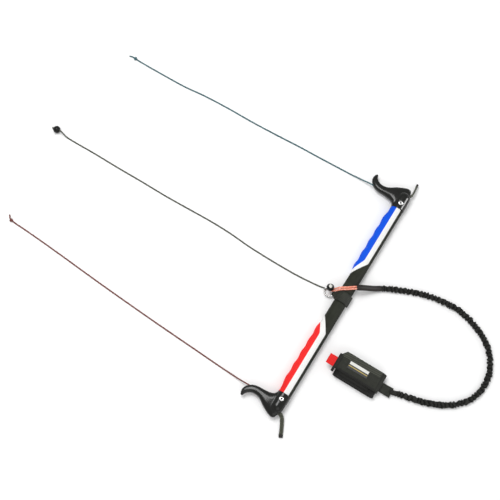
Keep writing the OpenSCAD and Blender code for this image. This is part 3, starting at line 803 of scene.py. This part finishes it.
def build_cap():
    """The right cap: the horn and its hub, less the bore, the holes and the slot for the keeper."""
    body = horn()
    face, bolt, along, up = (CAP_X, 0, AXIS_Z), (BOLT_X, 0, 0), (1, 0, 0), (0, 0, 1)
    dome = [(15 * math.cos(t), 262 - CAP_X + 15 * math.sin(t)) for t in np.linspace(0, math.pi / 2 - 0.06, 16)]
    cut(body, turned("hub", [(13.9, 0), (14.7, 0.3), (15, 1.1)] + dome, face, along), "UNION")
    turn = math.radians(75)
    bend = np.linspace(-math.pi / 2 + turn, 1.5 * math.pi - turn, 20)
    x, y = 22 * math.sin(turn), -22 * math.cos(turn)
    fan = [(7 * math.cos(t), 7 * math.sin(t)) for t in bend] + [(-x, y), (-22, -22), (22, -22), (x, y)]
    for tool in (
        turned("bore", [(9.55, -2), (9.55, 29)], face, along),
        prism("under", [(200, -60), (300, -60), (300, 100), (200, 100)], -30, 0),
        turned("bolt_hole", [(3.05, -1), (3.05, 40)], bolt, up),
        turned("seat", [(5.1, 27.2), (5.1, 34), (6, 36)], bolt, up),
        turned("nut_seat", [(4.5, -2), (4.5, 2)], bolt, up),
        turned("line_hole", [(2, 0), (2, 34)], (255, 56, AXIS_Z), (0, 1, 0)),
        prism("slot", [(272 + x, -5 + y) for x, y in fan], AXIS_Z - 4.8, AXIS_Z + 4.8),
    ):
        cut(body, tool, "DIFFERENCE")
    grid = body.modifiers.new("grid", "REMESH")
    grid.mode, grid.voxel_size = "VOXEL", 0.0006
    soften = body.modifiers.new("ease", "SMOOTH")
    soften.factor, soften.iterations = 0.5, 5
    apply_all(body)
    body.data.materials.clear()
    body.data.materials.append(CAP)
    body.data.shade_smooth()
    return body


right_cap = build_cap()
right_cap.name = "end_cap_right_v"
left_cap = add("end_cap_left_v", right_cap.data.copy())
left_cap.data.transform(Matrix.Diagonal((-1, 1, 1, 1)))
left_cap.data.flip_normals()
for made, node in ((right_cap, "end_cap_right"), (left_cap, "end_cap_left")):
    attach(made, "bar")
    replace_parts(made, node)

# A bolt's outside from its foot up, then its hexagonal socket from the rim down: height, size and tone, where a low
# tone is painted shade in the socket
BOLT_ROWS = [
    (0.02, 7), (1.7, 7), (2, 7.3), (2, 27.15), (4.7, 27.25), (5, 27.5), (5, 27.95), (4.7, 28.5),
    (4.1, 28.95), (3.3, 29.25), (2.7, 29.36),
]
SOCKET_ROWS = [(29.36, 1.06, 0.3), (29.2, 1.0, 0), (27.7, 1.0, 0), (27.6, 0.9, 0), (27.4, 0.02, 0)]
BOLT_SIDES = 60
t = bearings(BOLT_SIDES)
hexagon = 1.75 / np.cos(t % (TURN / 6) - TURN / 12)
hexagon = np.column_stack([hexagon * np.cos(t), hexagon * np.sin(t), 0 * t])
for side, word in ((-1, "left"), (1, "right")):
    x = side * BOLT_X
    rings = [*spun(BOLT_ROWS, (x, 0, 0), (0, 0, 1), (1, 0, 0), BOLT_SIDES)]
    rings += [(x, 0, z) + hexagon * scale for z, scale, _ in SOCKET_ROWS]
    tones = [1.0] * len(BOLT_ROWS) + [tone for _, _, tone in SOCKET_ROWS]
    bolt = skin("cap_bolt_" + word, rings, BOLT, "bar", tone=np.repeat(tones, BOLT_SIDES))
    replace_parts(bolt, "cap_bolts")

# Centre strap: over the back and top, down round the ring, under the bar and up again inside --------

STRAP_X = 2.5
INNER_TURN, OUTER_TURN, SEWN_TURN = 13.0, 14.75, 15.68
EYE = (21.5, 9.0)


def folded(t):
    """1 where the webbing's free end is folded over and sewn, 0 further round."""
    return ease((np.asarray(t, float) - 172) / 9)


def polar(r, degrees, centre=(0.0, AXIS_Z)):
    t = math.radians(degrees)
    return (STRAP_X, centre[0] + r * math.cos(t), centre[1] + r * math.sin(t))


def arc(r, start, end, centre=(0.0, AXIS_Z), every=10):
    steps = max(2, int(abs(end - start) / every) + 1)
    return [polar(r, t, centre) for t in np.linspace(start, end, steps)]


route = [polar(OUTER_TURN + 0.96 * float(folded(t)), t) for t in np.linspace(202, 48, 40)]
route += [(STRAP_X, 14.4, 20.6), (STRAP_X, 18.6, 15.8)] + arc(3.7, 52, -98, EYE, 18)
route += [(STRAP_X, 16.4, 3.6), (STRAP_X, 12.6, 3.4)] + arc(INNER_TURN, -58, -318)
strap_path = smooth(route, 0.9)
pinch = ease((np.hypot(strap_path[:, 1] - EYE[0], strap_path[:, 2] - EYE[1]) - 5.0) / 7.5)
front = strap_path[:, 1] > 8
width = np.where(front, 9 + 14 * pinch, 23.0)
round_bar = np.degrees(np.arctan2(strap_path[:, 2] - AXIS_Z, strap_path[:, 1])) % 360
outside = np.arange(len(strap_path)) < len(strap_path) // 3
thick = np.where(front, 1.35 + 0.3 * pinch, 1.65) + np.where(outside, 1.9 * folded(round_bar), 0)
strap = strip("centre_strap_v", strap_path, width, thick, WEBBING, "bar", (1, 0, 0), corner=0.5, crown=0.12)
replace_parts(strap, "centre_strap")
SEAM_LEFT, SEAM_RIGHT = -7.6, 12.6
for word, x in (("left", SEAM_LEFT), ("right", SEAM_RIGHT)):
    over = np.array([polar(SEWN_TURN + 1.9 * float(folded(t)), t) for t in np.arange(196, 65, -3)])
    over[:, 0] = x
    stitches("strap_stitch_" + word, over, 2.2, 0.9, 0.28, THREAD, "bar")
_, y, z = polar(15.66, 64)
row = np.linspace((SEAM_LEFT, y, z), (SEAM_RIGHT, y, z), 20)
stitches("strap_stitch_row", row, 2.2, 0.9, 0.28, THREAD, "bar")

# Ring, bead and knots ------------------------------------------------------------------

bead = lathe("stopper_bead_v", BALL_SHAPE, (8, 34, 22.5), (0, 0, 1), BALL, "ring")
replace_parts(bead, "stopper_bead")
tail = [(2.6, 1.9, 0.6), (3.6, 2.8, 1.6)]
top_knot = knot("bead_knot_v", (8, 34, 30.8), LINE_R, 2.3, (0.8, 0.6, 0), tail, PALE_CORD, "ring")
stub = tube("bead_stub", smooth([(8, 34, 14.6), (8, 34, 22), (8, 34, 30)], 1.6), LINE_R, GREY_LINE, "ring")
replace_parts(top_knot, "bead_knot")
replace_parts(stub, "bead_knot")
coil = []
for t in np.linspace(0, 2.1, 64):
    a = math.radians(-75) + TURN * t
    coil.append((7.7 + 3.05 * math.cos(a), 34.0 + 3.05 * math.sin(a), 8.9 + 1.65 * t))
coil = np.array([(5.6, 26.9, 12.9), (6.4, 28.8, 10.2)] + coil + [(10.4, 30.2, 12.9), (10.3, 28.2, 14.0)])
lark = tube("lark_knot_v", smooth(coil, 0.7), 1.65, SALMON, "ring", 14)
over = [(5.9, 30.9, 8.6), (6.6, 29.9, 11.2), (8.2, 29.6, 13.0), (10.2, 30.4, 13.2), (11.2, 31.6, 11.0)]
bar_over = tube("lark_bar", smooth(over, 0.7), 1.6, SALMON, "ring", 14)
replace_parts(lark, "lark_knot")
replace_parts(bar_over, "lark_knot")

# Cuff ----------------------------------------------------------------------------------


def corners(data):
    """A mesh's points as rows, in metres."""
    out = np.empty(len(data.vertices) * 3)
    data.vertices.foreach_get("co", out)
    return out.reshape(-1, 3)


def puff(target, held, limit):
    """Swells a closed piece with the cloth solver, at ten times its size, holding some points.
    No point ends further than limit millimetres from where it started."""
    start = corners(target.data)
    middle = start.mean(axis=0)
    big = add("swelling", target.data.copy())
    big.data.vertices.foreach_set("co", ((start - middle) * 10).ravel())
    big.vertex_groups.new(name="held").add([int(i) for i in np.nonzero(held)[0]], 1.0, "REPLACE")
    solver = big.modifiers.new("cloth", "CLOTH")
    settings = solver.settings
    settings.quality = 6
    settings.use_pressure = True
    settings.uniform_pressure_force = 5.0
    settings.effector_weights.gravity = 0
    settings.vertex_group_mass = "held"
    settings.tension_stiffness = settings.compression_stiffness = 20
    settings.bending_stiffness = 2
    solver.collision_settings.use_collision = False
    solver.point_cache.frame_start, solver.point_cache.frame_end = 1, 20
    scene = bpy.context.scene
    for number in range(1, 21):
        scene.frame_set(number)
    shown = big.evaluated_get(bpy.context.evaluated_depsgraph_get())
    move = corners(shown.data) / 10 + middle - start
    scene.frame_set(1)
    bpy.data.objects.remove(big)
    far = np.linalg.norm(move, axis=1)[:, None]
    most = limit / 1000
    end = start + move * (most * np.tanh(far / most) / np.maximum(far, 1e-9))
    end[:, 2] = np.maximum(end[:, 2], np.minimum(start[:, 2], 0.0002))
    target.data.vertices.foreach_set("co", end.ravel())
    target.data.update()


BAND_X, BAND_Z, BAND_FRONT, BAND_BACK, BAND_R = -120.0, 9.2, -71.0, -148.0, 7.0


def stadium(x, r, every=2.0):
    """The band's flattened loop, r from its middle line: two runs and two round folds."""

    def bend(y, start, end):
        turn = [math.radians(t) for t in np.linspace(start, end, 15)]
        return [(x, y + r * math.cos(t), BAND_Z + r * math.sin(t)) for t in turn]

    top = [(x, y, BAND_Z + r) for y in np.arange(BAND_BACK, BAND_FRONT, every)]
    under = [(x, y, BAND_Z - r) for y in np.arange(BAND_FRONT - every, BAND_BACK, -every)]
    return np.array(top + bend(BAND_FRONT, 90, -90) + under + bend(BAND_BACK, -90, -270)[:-1])


section = box_section(49.5, 3.5, 1.6, 5, crown=0.25, across=24)
rings = sweep(stadium(BAND_X, BAND_R), section, (1, 0, 0), loop=True)
edge = np.abs(rings[..., 0] - BAND_X)
# Painted shade: a dark line on the band along each binding tape's inner edge.
tone = np.clip(1 - 0.5 * np.exp(-((edge - 20.5) / 1.6) ** 2), 0, 1)
band = skin("cuff_band_v", rings, SHADED_BAND, "cuff", loop=True, tone=tone)
puff(band, (edge > 20).ravel(), 0.7)
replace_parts(band, "cuff_band")
for word, x, out in (("left", -143.3, 1.4), ("right", -96.7, -1.4)):
    tape = stadium(x, BAND_R)
    strip("cuff_binding_" + word, tape, 5.4, 4.1, BINDING, "cuff", (1, 0, 0), loop=True, corner=1.7)
    outside = stadium(x + out, 9.1, 1.4)
    outside[:, 2] = np.maximum(outside[:, 2], 0.3)
    stitches("cuff_stitch_" + word, np.vstack([outside, outside[:1]]), 2.0, 1.0, 0.25, THREAD, "cuff")

route = [(-118.4, -140, 18.95), (-118.4, -106, 19.0), (-118.4, -72, 18.95)]
pile = strip("loop_patch_v", smooth(route, 2.0), 44.5, 0.7, PILE, "cuff", (1, 0, 0), corner=0.3)
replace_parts(pile, "loop_patch")

# The flap: it leaves the band at the back fold, runs over the top and ends in a hem and the pull tab
FLAP_ROUTE = [
    (0, -158.3, 11.2), (0, -158.0, 14.4), (0, -155.6, 18.4), (0, -151.2, 20.8), (0, -145.5, 21.5),
    (0, -138, 21.5), (0, -110, 21.5), (0, -80, 21.5), (0, -57.4, 21.4),
]


FLAP_LEFT, FLAP_RIGHT = -134.0, -90.2


def right_edge(y):
    """The flap's right edge, with its chamfered corner."""
    return FLAP_RIGHT if y < -66 else FLAP_RIGHT - (y + 66) * 11 / 8


def inset(x, y):
    """Millimetres in from the nearer side of the flap."""
    return min(x - FLAP_LEFT, right_edge(y) - x)


def plate(name, route, left, right, thick, paint, columns, crown=0.0, loose=0.0, shade=None):
    """A sewn sheet along a route in y and z, from x left to x right at each step, with rounded edges."""
    path = smooth(route, 1.3)
    t = unit(np.gradient(path, axis=0))
    rings = []
    for i, p in enumerate(path):
        low, high = left(p[1]), right(p[1])
        half, middle = (high - low) / 2, (high + low) / 2
        slim = 1 - 0.45 * max(0, 1 - min(i, len(path) - 1 - i) / 1.5)
        up = np.array((-t[i, 2], t[i, 1]))
        ring = []
        for a, b in box_section(2 * half, thick * slim, thick * 0.45, 3, crown=crown, across=columns):
            lump = noise.noise(Vector(((middle + a) / 13, p[1] / 19, 3.1)))
            ring.append((middle + a, *(p[1:] + up * (b + loose * lump * max(0, 1 - (a / half) ** 4)))))
        rings.append(ring)
    rings = np.array(rings)
    tones = np.array([[shade(q[0], q[1]) for q in ring] for ring in rings]) if shade else None
    return skin(name, rings, paint, None, tone=tones), rings


def flap_shade(x, y):
    """Painted shade: darker along the flap's seams."""
    seams = ((inset(x, y) - 3.0, 0.9), (y + 152.5, 1.2), (y + 62.5, 1.0))
    return 1 - 0.75 * min(1.0, sum(math.exp(-((off / wide) ** 2)) for off, wide in seams))


flap, rings = plate(
    "cuff_flap_v", FLAP_ROUTE, lambda y: FLAP_LEFT, right_edge, 2.5, CUFF, 34, 0.15, 0.25, flap_shade
)
edge = np.array([[inset(p[0], p[1]) for p in ring] for ring in rings])
below = np.arange(rings.shape[1])[None] >= rings.shape[1] // 2
held = (edge < 2.6) | (rings[..., 1] < -149) | (rings[..., 1] > -61) | below
puff(flap, held.ravel(), 0.9)
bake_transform(flap)
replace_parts(flap, "cuff_flap")


def top_of(piece):
    points = [v.co.copy() for v in piece.data.vertices]
    return BVHTree.FromPolygons(points, [tuple(p.vertices) for p in piece.data.polygons])


FLAP_TOP, TAB_TOP = top_of(flap), top_of(tab)


def lay_on(surface, target, base):
    """Drops a flat piece, modelled at height base, onto the top of another piece."""
    for vertex in target.data.vertices:
        hit = surface.ray_cast(Vector((vertex.co.x, vertex.co.y, 0.1)), Vector((0, 0, -1)))
        if hit[0] is not None:
            vertex.co.z += hit[0].z - base / 1000
    target.data.update()


FLAP_RUN, LABEL_RUN = (-149, -120, -90, -61.5), (-126, -110, -95, -80)
for name, run, left, right, thick, paint, columns, base in (
    ("flap_binding_right", FLAP_RUN, lambda y: -104.0, lambda y: right_edge(y) - 0.6, 0.7, TWILL, 10, 22.75),
    ("flap_binding_left", FLAP_RUN, lambda y: -133.8, lambda y: -129.4, 0.6, BINDING, 4, 22.75),
    ("cuff_label_v", LABEL_RUN, lambda y: -120.0, lambda y: -103.0, 0.5, LABEL, 10, 22.7),
):
    sewn, _ = plate(name, [(0, y, 23.0) for y in run], left, right, thick, paint, columns)
    lay_on(FLAP_TOP, sewn, base)
    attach(sewn, "flap")
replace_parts(sewn, "cuff_label")

# Each seam runs between two places, x and y
for word, start, end in (
    ("label_left", (-119.2, -125.2), (-119.2, -80.8)), ("label_right", (-103.8, -125.2), (-103.8, -80.8)),
    ("label_back", (-119.2, -125.2), (-103.8, -125.2)), ("label_front", (-119.2, -80.8), (-103.8, -80.8)),
    ("flap_left", (-130.2, -148), (-130.2, -62)), ("flap_right", (-92.6, -148), (-92.6, -67)),
    ("flap_right_in", (-102.6, -148), (-102.6, -62)), ("flap_chamfer", (-92.6, -67), (-101.5, -60.6)),
    ("flap_back", (-131, -146.5), (-93, -146.5)), ("flap_front", (-132, -62), (-103, -62)),
):
    seam = np.linspace((*start, 23), (*end, 23), 60)
    sewn = stitches("stitch_" + word, seam, 1.7, 1.0, 0.24, THREAD, None)
    lay_on(FLAP_TOP, sewn, 22.55 if "label" in word else 22.95)
    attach(sewn, "flap")

route = [(-142.5, -57.3, 21.3), (-130, -57.2, 21.5), (-115, -57.2, 21.5), (-100.6, -57.3, 21.3)]
hem = strip("flap_hem_v", smooth(route, 1.5), 5.6, 3.8, BINDING, "flap", (0, 1, 0), corner=1.6)
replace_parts(hem, "flap_hem")
route = [(-115, -138, 19.75), (-115, -106, 19.75), (-115, -74, 19.75)]
hooks = strip("hook_patch_v", smooth(route, 2.0), 34, 0.7, PILE, "flap", (1, 0, 0), corner=0.3)
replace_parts(hooks, "hook_patch")

# The pull tab is a folded loop of tape: out along the top and back underneath
TAB_LOOP = (
    (-54.6, 22.1), (-49, 22.35), (-43, 22.3), (-39.2, 22.1), (-37.9, 21.4), (-39.2, 20.75), (-43, 20.6),
    (-49, 20.6), (-54.6, 20.7),
)
route = smooth([(-121.9, y, z) for y, z in TAB_LOOP], 0.6)
pull = strip("pull_tab_v", route, 21.7, 1.0, RED_TAB, "red_tab", (1, 0, 0))
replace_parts(pull, "pull_tab")
for word, y in (("near", -51.4), ("far", -49.6)):
    seam = np.linspace((-132.2, y, 22.85), (-111.6, y, 22.85), 30)
    stitches("tab_stitch_" + word, seam, 1.8, 0.9, 0.26, RED_TAB, "red_tab")
for word, start, end in (
    ("one", (-124.6, -158), (-124.6, -181.5)), ("two", (-106.6, -158), (-106.6, -181.5)),
    ("three", (-124.6, -181.5), (-106.6, -181.5)), ("four", (-124.6, -160), (-106.6, -181)),
    ("five", (-106.6, -160), (-124.6, -181)),
):
    seam = np.linspace((*start, 8.0), (*end, 8.0), 40)
    lay_on(TAB_TOP, stitches("leash_tab_stitch_" + word, seam, 2.0, 0.9, 0.26, THREAD, "bar"), 7.95)

# Carried-over CAD pieces get their materials
for node, paint in (
    ("bar_tube", ALUMINIUM), ("tube_plug_left", RUBBER), ("tube_plug_right", RUBBER),
    ("cap_nuts", STEEL), ("centre_ring", STEEL),
):
    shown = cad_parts[node]
    shown.data.materials.clear()
    shown.data.materials.append(paint)

# Floor and light -----------------------------------------------------------------------

floor = add("floor", bpy.data.meshes.new("floor"))
floor.data.from_pydata([(-4, -4, 0), (4, -4, 0), (4, 4, 0), (-4, 4, 0)], [], [(0, 1, 2, 3)])
ground = Paint("floor_paper", Roughness=0.9)
floor.data.materials.append(ground.finish(ground.mix(ground.noise(60, 3), rgb(0.86, 0.86, 0.86), rgb(0.9, 0.9, 0.9))))

world = bpy.data.worlds.new("studio")
world.use_nodes = True
world.node_tree.nodes["Background"].inputs[0].default_value = (1, 1, 1, 1)
world.node_tree.nodes["Background"].inputs[1].default_value = 0.66
bpy.context.scene.world = world
bpy.context.scene.view_settings.view_transform = "Standard"


def lamp(name, at, to, size, power, gloss_only=False):
    made = add(name, bpy.data.lights.new(name, "AREA"))
    made.data.size = size
    made.data.energy = power
    made.location = at
    made.rotation_euler = (Vector(to) - Vector(at)).to_track_quat("-Z", "Y").to_euler()
    made.visible_diffuse = made.visible_camera = not gloss_only


lamp("key", (0.15, 0.75, 2.3), (0, 0.2, 0), 1.0, 34)
lamp("fill", (-1.6, -1.2, 1.9), (0, 0.1, 0), 2.0, 12)
lamp("edge", (0.82, -1.37, 0.7), (0.26, -0.03, 0.03), 0.55, 22, gloss_only=True)
